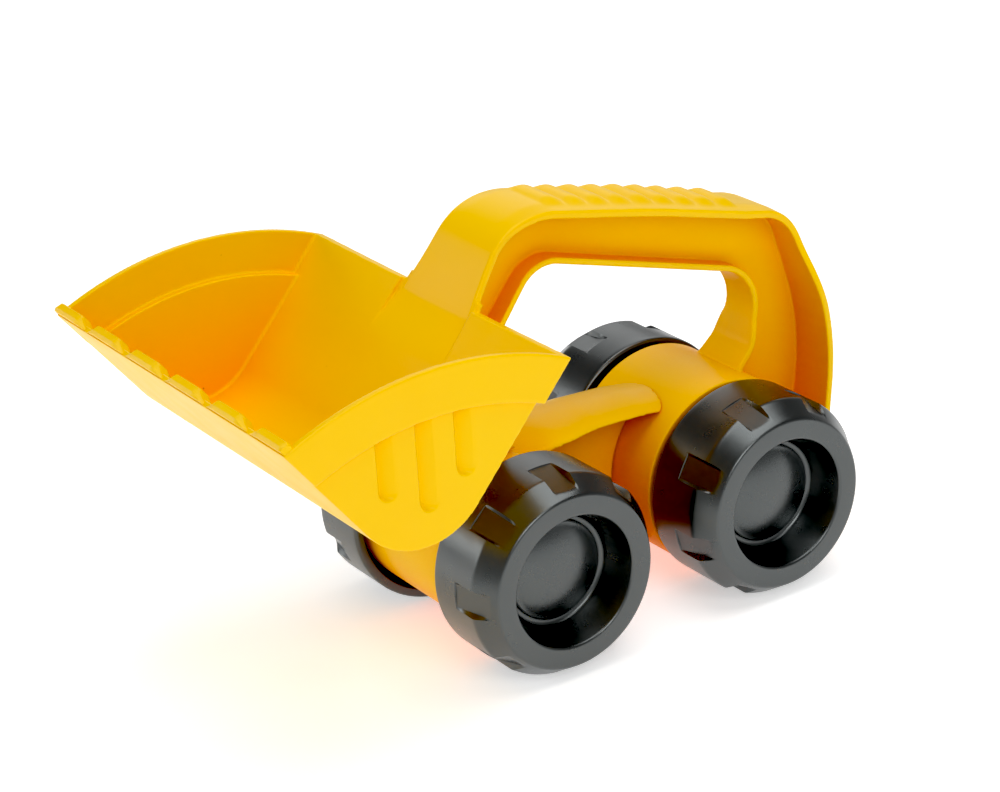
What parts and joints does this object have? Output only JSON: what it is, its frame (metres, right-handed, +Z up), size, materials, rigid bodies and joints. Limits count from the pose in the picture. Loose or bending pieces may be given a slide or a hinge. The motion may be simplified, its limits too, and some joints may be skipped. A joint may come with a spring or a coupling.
{
  "type": "toy loader",
  "caption": "Push-along plastic toy loader with a wide toothed scoop, a large carrying handle, and fat wheels that turn on steel axles.",
  "frame": {"origin": "on the ground, under the middle of the toy's length and width", "axes": "+X forward towards the scoop, +Y the toy's left side, +Z up"},
  "size_m": [0.3064, 0.1798, 0.1783],
  "materials": {
    "yellow_plastic": "satin moulded, slightly scuffed",
    "black_plastic": "satin moulded",
    "cap_plastic": "semi-gloss moulded",
    "steel": "zinc plated"
  },
  "bodies": {
    "chassis": {"scoop": "yellow_plastic", "handle_frame": "yellow_plastic", "front_chassis": "yellow_plastic", "arm": "yellow_plastic", "front_axle": "steel", "rear_axle": "steel", "front_left_axle_clip": "steel", "front_right_axle_clip": "steel", "rear_left_axle_clip": "steel", "rear_right_axle_clip": "steel", "scoop_screw_left": "steel", "scoop_screw_right": "steel", "foot_screw_left": "steel", "foot_screw_right": "steel", "arm_screw_left": "steel", "arm_screw_right": "steel"},
    "front_left_wheel_set": {"front_left_wheel": "black_plastic", "front_left_hub_cap": "cap_plastic"},
    "front_right_wheel_set": {"front_right_wheel": "black_plastic", "front_right_hub_cap": "cap_plastic"},
    "rear_left_wheel_set": {"rear_left_wheel": "black_plastic", "rear_left_hub_cap": "cap_plastic"},
    "rear_right_wheel_set": {"rear_right_wheel": "black_plastic", "rear_right_hub_cap": "cap_plastic"}
  },
  "joints": [
    {"name": "front_left_wheel_spin", "type": "hinge", "parent": "chassis", "child": "front_left_wheel_set", "pos_m": [0.01576, 0, 0.043], "axis": [0, 1, 0], "continuous": true},
    {"name": "front_right_wheel_spin", "type": "hinge", "parent": "chassis", "child": "front_right_wheel_set", "pos_m": [0.01576, 0, 0.043], "axis": [0, 1, 0], "continuous": true},
    {"name": "rear_left_wheel_spin", "type": "hinge", "parent": "chassis", "child": "rear_left_wheel_set", "pos_m": [-0.09208, 0, 0.043], "axis": [0, 1, 0], "continuous": true},
    {"name": "rear_right_wheel_spin", "type": "hinge", "parent": "chassis", "child": "rear_right_wheel_set", "pos_m": [-0.09208, 0, 0.043], "axis": [0, 1, 0], "continuous": true}
  ]
}
